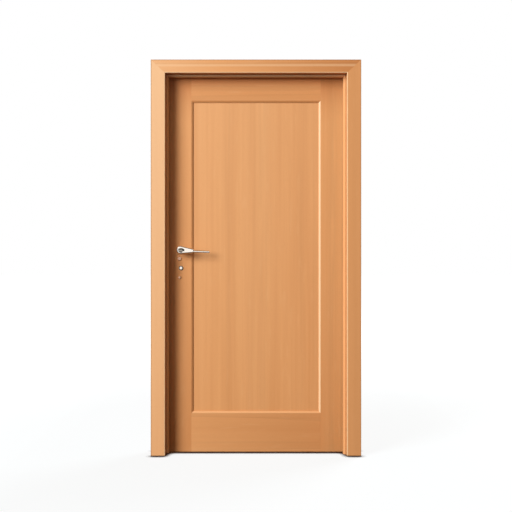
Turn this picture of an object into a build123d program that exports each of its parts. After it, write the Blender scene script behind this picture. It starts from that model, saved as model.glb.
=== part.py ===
# Interior door in its frame: a recessed-panel timber leaf hung on three butt hinges between
# cased jambs, with a sprung lever set, a mortise lock and a strike plate. Millimetres.
# X runs from the lock side to the hinge side, Y from the cased side that the leaf is recessed
# from to the side that it opens towards, and Z up from the floor. The origin is on the hinge
# jamb's outer face, which is screwed to the wall, at the floor and half way through the wall.
from build123d import *
import os

os.makedirs("parts", exist_ok=True)

# Frame: the jambs line the wall opening, the stops are planted on them.
jamb_thickness = 30
jamb_depth = 110
head_housing = 10
stop_thickness = 15
stop_width = 30
stop_bevel = 9

# Casings: flat boards on both faces of the wall, mitred at the corners. The head's is narrower.
casing_width = 73
casing_head_width = 68
casing_thickness = 15
casing_inner_round = 2
casing_outer_round = 6
casing_relief = 2
casing_relief_margin = 9
hinge_reveal = 9

# Leaf: stiles and rails round a thinner panel.
leaf_width = 940
leaf_height = 1985
leaf_thickness = 40
leaf_gap = 5
head_gap = 8
floor_gap = 7
stop_gap = 5
stile_width = 127
top_rail_height = 123
bottom_rail_height = 204
lock_edge_bevel = 2
arris = 1
tenon_length = 60
tenon_thickness = 14
tenon_shoulder = 25
panel_thickness = 24
groove_depth = 10
panel_float = 1
bead_width = 10
bead_lip = 3
bead_flat = 1

# Butt hinges.
hinge_height = 100
hinge_flap = 30
hinge_plate = 2.5
hinge_corner = 5
knuckles = 5
knuckle_gap = 0.5
barrel_radius = 6
barrel_offset = 7
pin_radius = 3
pin_clearance = 0.05
pin_head_radius = 5
pin_head_height = 4
hinge_from_top = 200
hinge_from_bottom = 250

# Lock, cylinder and strike plate.
backset = 72
lever_height = 1077
cylinder_drop = 96
lock_case_height = 195
lock_case_thickness = 16
lock_case_back = 26
lock_case_above = 45
forend_height = 270
forend_width = 20
forend_thickness = 3
forend_sink = 1.5
latch_height = 24
latch_thickness = 12
latch_length = 40
latch_drop = 22
latch_nose = 9
dead_bolt_height = 34
dead_bolt_thickness = 9
dead_bolt_drop = 80
cylinder_radius = 11
cylinder_rim_radius = 12
cylinder_rim = 2.5
cylinder_rim_round = 0.8
cylinder_nose_round = 3
cylinder_nose = 6
plug_radius = 6.5
plug_step = 0.8
keyway_width = 2.2
keyway_height = 9
keyway_depth = 14
strike_height = 170
strike_width = 24
strike_thickness = 2
strike_pocket = 16
strike_hole_margin = 2
strike_lip = 14
strike_lip_height = 50
cap_drops = (45, 146)
cap_radii = (12, 9)
cap_aside = 8
cap_height = 5
cap_round = 4

# Lever set: the root is a teardrop from a round boss to a narrower waist, with a long oval dish
# scooped out of its face.
rose_radius = 22
rose_height = 8
rose_round = 2
neck_radius = 9
neck_clearance = 0.08
neck_round = 3
spindle_side = 8
spindle_hole_radius = 11
spindle_socket = 24
root_radius = 20.5
root_thickness = 13
root_stand_off = 38
root_round = 6
waist_radius = 11
waist_reach = 61
waist_drop = 5
dish_length = 36
dish_width = 23
dish_depth = 3.5
dish_reach = 5
grip_half_height = 6.5
grip_half_thickness = 5.5
grip_start_drop = 7.5
grip_tip_half_height = 5.5
grip_tip_half_thickness = 4.5
grip_tip_round = 3
grip_reach = 155
grip_drop = 11

# Places worked out from the sizes above.
hinge_face = -jamb_thickness
clear_width = leaf_width + 2 * leaf_gap
clear_height = floor_gap + leaf_height + head_gap
lock_face = hinge_face - clear_width
centre = (hinge_face + lock_face) / 2
front_edge = -jamb_depth / 2
back_edge = jamb_depth / 2
jamb_height = clear_height + jamb_thickness
leaf_right = hinge_face - leaf_gap
leaf_left = leaf_right - leaf_width
leaf_back = back_edge
leaf_front = leaf_back - leaf_thickness
leaf_mid = (leaf_front + leaf_back) / 2
leaf_bottom = floor_gap
leaf_top = leaf_bottom + leaf_height
stop_back = leaf_front - stop_gap
panel_left = leaf_left + stile_width
panel_right = leaf_right - stile_width
panel_bottom = leaf_bottom + bottom_rail_height
panel_top = leaf_top - top_rail_height
panel_recess = (leaf_thickness - panel_thickness) / 2
barrel_x = hinge_face - leaf_gap / 2
barrel_y = leaf_back + barrel_offset
knuckle_length = hinge_height / knuckles
hinge_heights = {
    "bottom": leaf_bottom + hinge_from_bottom,
    "middle": (leaf_bottom + hinge_from_bottom + leaf_top - hinge_from_top) / 2,
    "top": leaf_top - hinge_from_top,
}
lever_x = leaf_left + backset
cylinder_height = lever_height - cylinder_drop
forend_face = leaf_left + forend_sink
forend_top = lever_height + lock_case_above + (forend_height - lock_case_height) / 2
forend_middle = forend_top - forend_height / 2
grip_start = waist_reach - waist_radius
grip_depth = root_stand_off + root_thickness / 2
dish_radius = ((dish_width / 2) ** 2 + dish_depth**2) / (2 * dish_depth)
dish_half_length = dish_radius * dish_length / dish_width
latch_middle = lever_height - latch_drop
dead_bolt_middle = lever_height - dead_bolt_drop

FRONT = Vector(0, -1, 0)
BACK = Vector(0, 1, 0)
UP = Vector(0, 0, 1)
LOCK_SIDE = Vector(-1, 0, 0)
HINGE_SIDE = Vector(1, 0, 0)


def finish(piece, label):
    """Names a finished piece and writes it."""
    piece.part.label = label
    export_step(piece.part, f"parts/{label}.step")


def finish_pair(front, label):
    """Writes a fitting of the leaf's front and its mirror image on the leaf's back."""
    finish(front, f"{label}_front")
    with BuildPart() as back:
        mirror(front.part, about=Plane.XZ.offset(-leaf_mid))
    finish(back, f"{label}_back")


def front_plane(height):
    """The plane of the leaf's front face, with its origin on the lever's axis at a height."""
    return Plane(origin=(lever_x, leaf_front, height), x_dir=HINGE_SIDE, z_dir=FRONT)


def mitre(corner, outward, towards_corner, slope):
    """The plane that cuts a bar at a corner. Slope is the next bar's width over this one's."""
    return Plane(origin=corner, z_dir=towards_corner - outward * slope)


def section_plane(inner_edge, outward, face):
    """A plane across a bar: its X runs outwards from the bar's inner edge, its Y out to its face."""
    return Plane(origin=inner_edge, x_dir=outward, z_dir=outward.cross(face))


def casing_section(width):
    """A flat casing, rounded at its face and relieved behind, so that it sits tight on the wall."""
    Rectangle(width, casing_thickness, align=(Align.MIN, Align.MIN))
    face_corners = vertices().group_by(Axis.Y)[-1].sort_by(Axis.X)
    fillet(face_corners[0], casing_inner_round)
    fillet(face_corners[-1], casing_outer_round)
    relief_start = jamb_thickness + casing_relief_margin
    with Locations((relief_start, 0)):
        Rectangle(
            width - casing_relief_margin - relief_start,
            2 * casing_relief,
            align=(Align.MIN, Align.CENTER),
            mode=Mode.SUBTRACT,
        )


def stop_section(width):
    """A planted stop, drawn inwards from the jamb, with its nose bevelled."""
    with Locations((-stop_thickness, 0)):
        Rectangle(stop_thickness, width, align=(Align.MIN, Align.MIN))
    nose = vertices().group_by(Axis.Y)[-1].sort_by(Axis.X)[0]
    chamfer(nose, stop_bevel)


def bead_section(depth):
    """A bevelled bead in the corner between the stile or rail and the panel, drawn inwards."""
    Polygon(
        (0, 0),
        (-bead_width, 0),
        (-bead_width, bead_lip),
        (-bead_flat, depth),
        (0, depth),
        align=None,
    )


def upright(label, section, size, inner_x, wall_y, outward, face, low, high, mitres, slope=1):
    """A vertical bar of a mitred frame, from the height low to the height high."""
    with BuildPart() as bar:
        start = Vector(inner_x, wall_y, (low + high) / 2)
        with BuildSketch(section_plane(start, outward, face)):
            section(size)
        extrude(amount=(high - low) / 2, both=True)
        for height, towards in mitres:
            cut = mitre(Vector(inner_x, wall_y, height), outward, towards, slope)
            split(bisect_by=cut, keep=Keep.BOTTOM)
    finish(bar, label)


def crossbar(label, section, size, inner_z, wall_y, outward, face, left, right, slope=1):
    """A horizontal bar of a mitred frame, whose inner edge runs from left to right."""
    with BuildPart() as bar:
        middle = Vector((left + right) / 2, wall_y, inner_z)
        with BuildSketch(section_plane(middle, outward, face)):
            section(size)
        extrude(amount=(right - left) / 2 + casing_width, both=True)
        for x, towards in ((left, LOCK_SIDE), (right, HINGE_SIDE)):
            cut = mitre(Vector(x, wall_y, inner_z), outward, towards, slope)
            split(bisect_by=cut, keep=Keep.BOTTOM)
    finish(bar, label)


def hinge_seats(face_x, into):
    """Cuts the shallow seats for the three hinge flaps into the edge of a jamb or stile."""
    for height in hinge_heights.values():
        with Locations((face_x + into * hinge_plate / 2, leaf_back - hinge_flap / 2, height)):
            Box(hinge_plate, hinge_flap, hinge_height, mode=Mode.SUBTRACT)


def jamb_leg(inner_x, outward):
    """The plain upright of the frame, with a housing at its top for the head."""
    with Locations((inner_x, 0, 0)):
        Box(
            jamb_thickness,
            jamb_depth,
            jamb_height,
            align=(Align.MIN if outward > 0 else Align.MAX, Align.CENTER, Align.MIN),
        )
    with Locations((inner_x, 0, clear_height)):
        Box(
            2 * head_housing,
            jamb_depth,
            jamb_thickness,
            align=(Align.CENTER, Align.CENTER, Align.MIN),
            mode=Mode.SUBTRACT,
        )


def build_jambs():
    """The hinge jamb, the lock jamb with its strike pocket, and the head housed in both."""
    with BuildPart() as hinge_jamb:
        jamb_leg(hinge_face, 1)
        hinge_seats(hinge_face, 1)
    finish(hinge_jamb, "hinge_jamb")

    with BuildPart() as lock_jamb:
        jamb_leg(lock_face, -1)
        with Locations((lock_face - strike_thickness / 2, leaf_mid, forend_middle)):
            Box(strike_thickness, strike_width, strike_height, mode=Mode.SUBTRACT)
        with Locations((lock_face - strike_thickness / 2, leaf_back, latch_middle)):
            Box(strike_thickness, 2 * strike_lip, strike_lip_height, mode=Mode.SUBTRACT)
        for height, tall, thick in bolt_openings():
            with Locations((lock_face, leaf_mid, height)):
                Box(2 * strike_pocket, thick, tall, mode=Mode.SUBTRACT)
    finish(lock_jamb, "lock_jamb")

    with BuildPart() as head_jamb:
        with Locations((centre, 0, clear_height)):
            Box(
                clear_width + 2 * head_housing,
                jamb_depth,
                jamb_thickness,
                align=(Align.CENTER, Align.CENTER, Align.MIN),
            )
    finish(head_jamb, "head_jamb")


def bolt_openings():
    """Height, tallness and thickness of the strike plate's two holes."""
    spare = 2 * strike_hole_margin
    return (
        (latch_middle, latch_height + spare, latch_thickness + spare),
        (dead_bolt_middle, dead_bolt_height + spare, dead_bolt_thickness + spare),
    )


def build_stops():
    """The stops that the closed leaf meets, mitred under the head."""
    for side, inner_x, outward in (
        ("lock", lock_face, LOCK_SIDE),
        ("hinge", hinge_face, HINGE_SIDE),
    ):
        upright(
            f"stop_{side}_side", stop_section, stop_width, inner_x, stop_back, outward,
            FRONT, 0, clear_height, [(clear_height, UP)],
        )
    crossbar(
        "stop_head", stop_section, stop_width, clear_height, stop_back, UP, FRONT,
        lock_face, hinge_face,
    )


def build_casings():
    """The casings of both faces: flush with the jambs in front, clear of the hinges behind."""
    for place, wall_y, face, reveal in (
        ("front", front_edge, FRONT, 0),
        ("back", back_edge, BACK, hinge_reveal),
    ):
        width = casing_width - reveal
        head_width = casing_head_width - reveal
        top = clear_height + reveal
        left, right = lock_face - reveal, hinge_face + reveal
        for side, inner_x, outward in (("lock", left, LOCK_SIDE), ("hinge", right, HINGE_SIDE)):
            upright(
                f"casing_{place}_{side}_side", casing_section, width, inner_x, wall_y,
                outward, face, 0, top + head_width, [(top, UP)], head_width / width,
            )
        crossbar(
            f"casing_{place}_head", casing_section, head_width, top, wall_y, UP, face,
            left, right, width / head_width,
        )


def stile_mortises(inner_x, into):
    """Cuts the panel groove and the mortises for both rails into a stile's inner edge."""
    groove_low, groove_high = panel_bottom - groove_depth, panel_top + groove_depth
    with Locations((inner_x, leaf_mid, (groove_low + groove_high) / 2)):
        Box(2 * groove_depth, panel_thickness, groove_high - groove_low, mode=Mode.SUBTRACT)
    for low, high in rail_spans():
        with Locations((inner_x, leaf_mid, (low + high) / 2)):
            Box(
                2 * tenon_length,
                tenon_thickness,
                high - low - 2 * tenon_shoulder,
                mode=Mode.SUBTRACT,
            )


def rail_spans():
    """Lowest and highest point of the bottom rail and of the top rail."""
    return ((leaf_bottom, panel_bottom), (panel_top, leaf_top))


def build_stiles():
    """The full-height uprights of the leaf. The lock stile's edge is planed to clear its jamb."""
    with BuildPart() as hinge_stile:
        with BuildSketch(Plane.XY.offset(leaf_bottom)):
            with Locations((leaf_right, leaf_mid)):
                Rectangle(stile_width, leaf_thickness, align=(Align.MAX, Align.CENTER))
            chamfer(vertices().group_by(Axis.X)[-1], arris)
        extrude(amount=leaf_height)
        stile_mortises(panel_right, 1)
        hinge_seats(leaf_right, -1)
    finish(hinge_stile, "hinge_stile")

    with BuildPart() as lock_stile:
        with BuildSketch(Plane.XY.offset(leaf_bottom)):
            with BuildLine():
                Polyline(
                    (leaf_left, leaf_back),
                    (leaf_left + lock_edge_bevel, leaf_front),
                    (panel_left, leaf_front),
                    (panel_left, leaf_back),
                    close=True,
                )
            make_face()
            chamfer(vertices().sort_by(Axis.X)[:2], arris)
        extrude(amount=leaf_height)
        stile_mortises(panel_left, -1)
        lock_cut_outs()
        with Locations((leaf_left, leaf_mid, forend_middle)):
            Box(
                2 * (forend_sink + forend_thickness),
                forend_width,
                forend_height,
                mode=Mode.SUBTRACT,
            )
        with Locations((forend_face, leaf_mid, lever_height + lock_case_above)):
            Box(
                backset - forend_sink + lock_case_back,
                lock_case_thickness,
                lock_case_height,
                align=(Align.MIN, Align.CENTER, Align.MAX),
                mode=Mode.SUBTRACT,
            )
    finish(lock_stile, "lock_stile")


def lock_cut_outs():
    """Bores the leaf or the lock case right through for the spindle and the cylinder."""
    for height, radius in ((lever_height, spindle_hole_radius), (cylinder_height, cylinder_radius)):
        with Locations(Location((lever_x, leaf_mid, height), (90, 0, 0))):
            Cylinder(radius, 2 * leaf_thickness, mode=Mode.SUBTRACT)


def build_rails_and_panel():
    """The rails, tenoned into the stiles, and the panel that floats in their grooves."""
    rail_length = panel_right - panel_left
    middle_x = (panel_left + panel_right) / 2
    for label, (low, high), inner_z in (
        ("bottom_rail", rail_spans()[0], panel_bottom),
        ("top_rail", rail_spans()[1], panel_top),
    ):
        with BuildPart() as rail:
            with Locations((middle_x, leaf_mid, (low + high) / 2)):
                Box(rail_length, leaf_thickness, high - low)
                Box(
                    rail_length + 2 * tenon_length,
                    tenon_thickness,
                    high - low - 2 * tenon_shoulder,
                )
            with Locations((middle_x, leaf_mid, inner_z)):
                Box(rail_length, panel_thickness, 2 * groove_depth, mode=Mode.SUBTRACT)
        finish(rail, label)

    with BuildPart() as panel:
        hidden = 2 * (groove_depth - panel_float)
        with Locations((middle_x, leaf_mid, (panel_bottom + panel_top) / 2)):
            Box(rail_length + hidden, panel_thickness, panel_top - panel_bottom + hidden)
    finish(panel, "panel")


def build_beads():
    """The bevelled beads round the panel, four mitred lengths on each face of the leaf."""
    for place, panel_face, face in (
        ("front", leaf_front + panel_recess, FRONT),
        ("back", leaf_back - panel_recess, BACK),
    ):
        for side, inner_x, outward in (
            ("lock", panel_left, LOCK_SIDE),
            ("hinge", panel_right, HINGE_SIDE),
        ):
            upright(
                f"bead_{place}_{side}_side", bead_section, panel_recess, inner_x, panel_face,
                outward, face, panel_bottom, panel_top, [(panel_bottom, -UP), (panel_top, UP)],
            )
        for side, inner_z, outward in (("bottom", panel_bottom, -UP), ("top", panel_top, UP)):
            crossbar(
                f"bead_{place}_{side}", bead_section, panel_recess, inner_z, panel_face,
                outward, face, panel_left, panel_right,
            )


def hinge_half(label, height, face_x, into, own_knuckles):
    """One flap of a hinge with its share of the knuckles, bored for the pin."""
    with BuildPart() as half:
        with BuildSketch(Plane.YZ.offset(face_x)):
            with Locations((leaf_back, height)):
                Rectangle(hinge_flap, hinge_height, align=(Align.MAX, Align.CENTER))
            fillet(vertices().group_by(Axis.X)[0], hinge_corner)
        extrude(amount=into * hinge_plate)
        for number in own_knuckles:
            low = height - hinge_height / 2 + number * knuckle_length + knuckle_gap / 2
            with BuildSketch(Plane.XY.offset(low)):
                with Locations((barrel_x, barrel_y)):
                    Circle(barrel_radius)
                with Locations((face_x, leaf_back)):
                    Rectangle(
                        hinge_plate,
                        barrel_offset,
                        align=(Align.MIN if into > 0 else Align.MAX, Align.MIN),
                    )
            extrude(amount=knuckle_length - knuckle_gap)
        with Locations((barrel_x, barrel_y, height)):
            Cylinder(pin_radius + pin_clearance, hinge_height, mode=Mode.SUBTRACT)
    finish(half, label)


def build_hinges():
    """Three butt hinges: a flap on the jamb, a flap on the leaf and a loose pin each."""
    for place, height in hinge_heights.items():
        hinge_half(f"hinge_jamb_flap_{place}", height, hinge_face, 1, range(0, knuckles, 2))
        hinge_half(f"hinge_leaf_flap_{place}", height, leaf_right, -1, range(1, knuckles, 2))
        with BuildPart() as pin:
            with Locations((barrel_x, barrel_y, height)):
                Cylinder(pin_radius, hinge_height)
            for end, align in ((1, Align.MIN), (-1, Align.MAX)):
                with Locations((barrel_x, barrel_y, height + end * hinge_height / 2)):
                    Cylinder(
                        pin_head_radius,
                        pin_head_height,
                        align=(Align.CENTER, Align.CENTER, align),
                    )
            tips = edges().filter_by(GeomType.CIRCLE).sort_by(Axis.Z)
            fillet([tips[0], tips[-1]], pin_head_height / 3)
        finish(pin, f"hinge_pin_{place}")


def build_lock():
    """The mortise lock with its forend and drawn-in bolts, the strike plate and the cylinder."""
    with BuildPart() as mortise_lock:
        with Locations((forend_face, leaf_mid, forend_middle)):
            Box(
                forend_thickness,
                forend_width,
                forend_height,
                align=(Align.MIN, Align.CENTER, Align.CENTER),
            )
        with Locations((forend_face, leaf_mid, lever_height + lock_case_above)):
            Box(
                backset - forend_sink + lock_case_back,
                lock_case_thickness,
                lock_case_height,
                align=(Align.MIN, Align.CENTER, Align.MAX),
            )
        lock_cut_outs()
        with Locations((forend_face, leaf_mid, latch_middle)):
            Box(2 * latch_length, latch_thickness, latch_height, mode=Mode.SUBTRACT)
        with Locations((forend_face, leaf_mid, dead_bolt_middle)):
            Box(2 * latch_length, dead_bolt_thickness, dead_bolt_height, mode=Mode.SUBTRACT)
    finish(mortise_lock, "mortise_lock")

    with BuildPart() as latch_bolt:
        with BuildSketch(Plane.XY.offset(latch_middle - latch_height / 2)):
            with BuildLine():
                Polyline(
                    (forend_face, leaf_mid - latch_thickness / 2),
                    (forend_face + latch_length, leaf_mid - latch_thickness / 2),
                    (forend_face + latch_length, leaf_mid + latch_thickness / 2),
                    (forend_face + latch_nose, leaf_mid + latch_thickness / 2),
                    close=True,
                )
            make_face()
        extrude(amount=latch_height)
    finish(latch_bolt, "latch_bolt")

    with BuildPart() as dead_bolt:
        with Locations((forend_face, leaf_mid, dead_bolt_middle)):
            Box(
                latch_length,
                dead_bolt_thickness,
                dead_bolt_height,
                align=(Align.MIN, Align.CENTER, Align.CENTER),
            )
    finish(dead_bolt, "dead_bolt")

    with BuildPart() as strike_plate:
        with BuildSketch(Plane.YZ.offset(lock_face - strike_thickness)):
            with Locations((leaf_mid, forend_middle)):
                RectangleRounded(strike_width, strike_height, strike_width / 4)
            with Locations((leaf_mid, latch_middle)):
                Rectangle(
                    leaf_back - leaf_mid,
                    strike_lip_height,
                    align=(Align.MIN, Align.CENTER),
                )
            for height, tall, thick in bolt_openings():
                with Locations((leaf_mid, height)):
                    Rectangle(thick, tall, mode=Mode.SUBTRACT)
        extrude(amount=strike_thickness)
    finish(strike_plate, "strike_plate")


def build_front_fittings():
    """The key cylinder, the cover caps and the rose, with their pairs on the back."""
    with BuildPart() as cylinder:
        mouth = front_plane(cylinder_height)
        with BuildSketch(mouth.offset(-leaf_thickness / 2)):
            Circle(cylinder_radius)
        extrude(amount=leaf_thickness / 2 + cylinder_nose)
        with BuildSketch(mouth):
            Circle(cylinder_rim_radius)
        extrude(amount=cylinder_rim)
        circles = edges().filter_by(GeomType.CIRCLE)
        rim = circles.filter_by(lambda edge: edge.radius == cylinder_rim_radius)
        fillet(rim.sort_by(Axis.Y)[0], cylinder_rim_round)
        fillet(circles.sort_by(Axis.Y)[0], cylinder_nose_round)
        with BuildSketch(mouth.offset(cylinder_nose)):
            Circle(plug_radius)
        extrude(amount=plug_step)
        with BuildSketch(mouth.offset(cylinder_nose + plug_step)):
            Rectangle(keyway_width, keyway_height)
        extrude(amount=-keyway_depth, mode=Mode.SUBTRACT)
    finish_pair(cylinder, "lock_cylinder")

    with BuildPart() as caps:
        for drop, radius in zip(cap_drops, cap_radii):
            with BuildSketch(front_plane(lever_height - drop)):
                with Locations((-cap_aside, 0)):
                    Circle(radius)
            extrude(amount=cap_height)
        fillet(edges().filter_by(GeomType.CIRCLE).group_by(Axis.Y)[0], cap_round)
    finish_pair(caps, "cover_caps")

    with BuildPart() as rose:
        with BuildSketch(front_plane(lever_height)):
            Circle(rose_radius)
        extrude(amount=rose_height)
        fillet(edges().filter_by(GeomType.CIRCLE).group_by(Axis.Y)[0], rose_round)
        with BuildSketch(front_plane(lever_height)):
            Circle(neck_radius + neck_clearance)
        extrude(amount=rose_height, mode=Mode.SUBTRACT)
    finish_pair(rose, "rose")


def teardrop(radius, tail_radius, tail_reach, tail_drop):
    """A round boss that tapers along straight sides to a smaller round tail."""
    Circle(radius)
    with Locations((tail_reach, -tail_drop)):
        Circle(tail_radius)
    make_hull()


def build_levers():
    """The two levers: a dished teardrop root, a slim grip that droops, and a neck on the spindle."""
    axis = front_plane(lever_height)
    with BuildPart() as lever:
        with BuildSketch(axis.offset(root_stand_off)):
            teardrop(root_radius, waist_radius, waist_reach, waist_drop)
        extrude(amount=root_thickness)
        fillet(edges().filter_by(axis), root_round)
        dish_height = root_stand_off + root_thickness - dish_depth + dish_radius
        dish_middle = axis.from_local_coords((dish_reach, -waist_drop / 2, dish_height))
        with BuildSketch(Plane(origin=dish_middle, x_dir=HINGE_SIDE, z_dir=UP)):
            Ellipse(dish_half_length, dish_radius)
            Rectangle(
                2 * dish_half_length,
                dish_radius,
                align=(Align.CENTER, Align.MAX),
                mode=Mode.SUBTRACT,
            )
        revolve(axis=Axis(dish_middle, HINGE_SIDE), mode=Mode.SUBTRACT)
        for reach, drop, half_height, half_thickness in (
            (grip_start, grip_start_drop, grip_half_height, grip_half_thickness),
            (grip_reach, grip_drop, grip_tip_half_height, grip_tip_half_thickness),
        ):
            middle = axis.from_local_coords((reach, -drop, grip_depth))
            with BuildSketch(Plane(origin=middle, x_dir=UP, z_dir=HINGE_SIDE)):
                Ellipse(half_height, half_thickness)
        loft()
        fillet(edges().sort_by(Axis.X)[-1], grip_tip_round)
        with BuildSketch(axis):
            Circle(neck_radius)
        extrude(amount=root_stand_off + root_round)
        circles = edges().filter_by(GeomType.CIRCLE)
        neck_circles = circles.filter_by(lambda edge: edge.radius == neck_radius)
        fillet(neck_circles.sort_by(Axis.Y)[0], neck_round)
        with BuildSketch(axis):
            Rectangle(spindle_side, spindle_side)
        extrude(amount=spindle_socket, mode=Mode.SUBTRACT)
    finish_pair(lever, "lever")


def build_spindle():
    """The square bar that turns both levers together."""
    with BuildPart() as spindle:
        with Locations((lever_x, leaf_mid, lever_height)):
            Box(spindle_side, leaf_thickness + 2 * spindle_socket, spindle_side)
    finish(spindle, "spindle")


build_jambs()
build_stops()
build_casings()
build_stiles()
build_rails_and_panel()
build_beads()
build_hinges()
build_lock()
build_front_fittings()
build_levers()
build_spindle()
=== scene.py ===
"""Dresses an interior door and its frame: timber, metal, screws, and the studio it stands in."""
import math
from typing import NamedTuple

import bmesh
import bpy
from mathutils import Matrix, Vector


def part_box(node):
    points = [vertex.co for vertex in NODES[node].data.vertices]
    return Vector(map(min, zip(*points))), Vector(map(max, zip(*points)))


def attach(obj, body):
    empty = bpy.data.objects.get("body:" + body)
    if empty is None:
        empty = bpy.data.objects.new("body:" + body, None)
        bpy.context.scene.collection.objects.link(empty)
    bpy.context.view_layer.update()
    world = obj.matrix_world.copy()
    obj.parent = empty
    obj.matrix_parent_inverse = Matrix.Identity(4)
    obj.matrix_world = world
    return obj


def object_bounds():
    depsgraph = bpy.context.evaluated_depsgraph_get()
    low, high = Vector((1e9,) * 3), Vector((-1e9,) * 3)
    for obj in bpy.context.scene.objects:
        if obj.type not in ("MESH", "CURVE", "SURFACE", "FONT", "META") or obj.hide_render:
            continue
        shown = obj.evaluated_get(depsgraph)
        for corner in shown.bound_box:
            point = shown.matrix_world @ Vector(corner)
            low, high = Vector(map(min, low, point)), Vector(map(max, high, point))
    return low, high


bl_info = {
    "name": "Interior Door Finish",
    "version": (1, 0, 0),
    "blender": (4, 5, 0),
    "location": "View3D > Sidebar > Door",
    "description": "Finishes the timber and metal of an interior door and sets up its studio",
    "category": "Object",
}

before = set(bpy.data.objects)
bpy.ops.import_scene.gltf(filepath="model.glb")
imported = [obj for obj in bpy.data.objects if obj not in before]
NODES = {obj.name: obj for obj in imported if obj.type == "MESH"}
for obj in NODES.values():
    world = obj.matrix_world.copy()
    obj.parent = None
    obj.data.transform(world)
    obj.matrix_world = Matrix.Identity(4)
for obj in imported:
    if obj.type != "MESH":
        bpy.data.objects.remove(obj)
CAD_LOW, CAD_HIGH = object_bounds()
MM = 0.001

ALONG_Z = (0.0, 0.0, 0.0)
ALONG_X = (0.0, math.radians(90.0), 0.0)
TO_LOCK_SIDE = Vector((-1.0, 0.0, 0.0))
TO_HINGE_SIDE = Vector((1.0, 0.0, 0.0))
WHITE = (1.0, 1.0, 1.0, 1.0)
# The sockets of a colour mix node.
MIX_FACTOR, MIX_FIRST, MIX_SECOND, MIX_RESULT = 0, 6, 7, 2

# The boards that take a painted highlight at the edge towards the opening and painted shade at the
# edge away from it.
PAINTED_EDGE_BOARDS = ("casing", "stop_head", "stop_lock_side")
# How strong the painted highlight is on a stop beside a casing, where it lightens the shaded stop,
# and how wide the bevel is that the highlight starts behind.
STOP_HIGHLIGHT = 0.3
STOP_BEVEL = 9.0 * MM

# How far apart the figures of two boards lie.
BOARD_STEP = 0.618
BOARD_OFFSET = (3.17, 1.73, 5.29)

# How much each scale of the figure counts.
FIGURE_SHARES = {"broad": 0.58, "lines": 0.27, "fine": 0.15}
FLECK_SHARE = 0.12
PORE_SHARE = 0.07

# How steeply a ring darkens to its end, and how steeply the painted shade darkens a stile towards its
# top.
RING_CURVE = 3.0
TOP_SHADE_CURVE = 2.0
# The least of a ring's dark end that shows where it is broken up.
RING_LEAST = 0.25

# How many times per metre the grain turns aside, across it and along it.
DRIFT = (4.0, 4.0, 0.9)

# How much the gloss changes from fibre to fibre, and how far the fibres stand out.
GLOSS_SPREAD = 0.10
FIBRE_SHARE = 0.5
FIBRE_RELIEF = 0.2 * MM
FIBRE_STRENGTH = 0.12

# The second coat of lacquer on the cover caps.
CAP_COAT_ROUGHNESS = 0.08
CAP_COAT_IOR = 2.2

# How much rougher the smears on the metal are, and how deep its scratches.
CHROME_SMEAR = 0.06
STEEL_SMEAR = 0.1
SCRATCH_RELIEF = 0.1 * MM
SCRATCH_STRENGTH = 0.04

# The share of an inlay's reach over which it fades out.
PLUG_FADE = 0.02
DISH_FADE = 0.3

# How far a screw stands out.
SCREW_PROUD = 0.2 * MM
# The corners of its head and of its cross recess, and how far both draw in on the way down.
HEAD_CORNERS = 24
HEAD_TAPER = 0.5
RECESS_CORNERS = 12
RECESS_TAPER = 0.6
# How far the cross draws in between its arms.
RECESS_WAIST = 0.37

HINGE_PLACES = ("bottom", "middle", "top")
SCREWS_PER_FLAP = 4
# How far the screws of the lock sit in from the ends of its forend and of its strike plate.
FOREND_INSET = 10.0 * MM
STRIKE_INSET = 12.0 * MM
# How far a screw is turned: from row to row in a flap, and for each metre of height at the lock.
FLAP_SCREW_TURN = 0.9
LOCK_SCREW_TURN = 7.0

# The floor's side, and where the upper and lower flags lie in flag distances.
FLOOR_SIZE = 80.0
FLAG_RISE = 1.6
FLAG_DROP = 0.8

# How pale (up to 1) or how red (down to -1) a board is at the low or hinge end of its grain, and at
# the other end. Beside the boards' own tone this paints light and shade: the pale lock-side casing
# and the pale lock end of the head casing are a painted sheen; the redder low ends of the stiles, the
# paler top of the panel and the redder hinge ends of the bottom rail and head casing are painted
# shade where the light falls off downward and towards the hinge side; the dark red head jamb is
# painted shade under the head; the pale stop head and lock jamb are painted light in their shaded
# reveals; the pale hinge-side and bottom beads are painted highlights on bevels that face the key
# lamp, and the red lock-side and top beads are painted shade on bevels that face away from it.
TONES_AND_PAINTED_LIGHT = {
    "bead_front_hinge_side": (1.0, 1.0),
    "bead_front_bottom": (0.1, 0.2),
    "bead_front_lock_side": (-0.5, -0.3),
    "bead_front_top": (-0.6, -0.5),
    "bottom_rail": (-0.5, -0.1),
    "casing_front_head": (-0.7, 0.35),
    "casing_front_hinge_side": (-0.2, -0.25),
    "casing_front_lock_side": (0.2, 0.72),
    "cover_caps_back": (-0.4, -0.4),
    "cover_caps_front": (-0.4, -0.4),
    "head_jamb": (-1.0, -1.0),
    "hinge_jamb": (0.0, 0.1),
    "hinge_stile": (-0.4, 0.05),
    "lock_jamb": (0.4, 0.4),
    "lock_stile": (-0.45, -0.02),
    "panel": (0.0, 0.13),
    "stop_head": (0.7, 0.7),
    "stop_hinge_side": (-0.1, 0.0),
    "stop_lock_side": (0.1, 0.1),
    "top_rail": (-0.3, -0.3),
}


class Grain(NamedTuple):
    """How the grain of a board shows."""

    rings: float
    ring_depth: float
    arching: float
    wander: float
    figure: float


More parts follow.
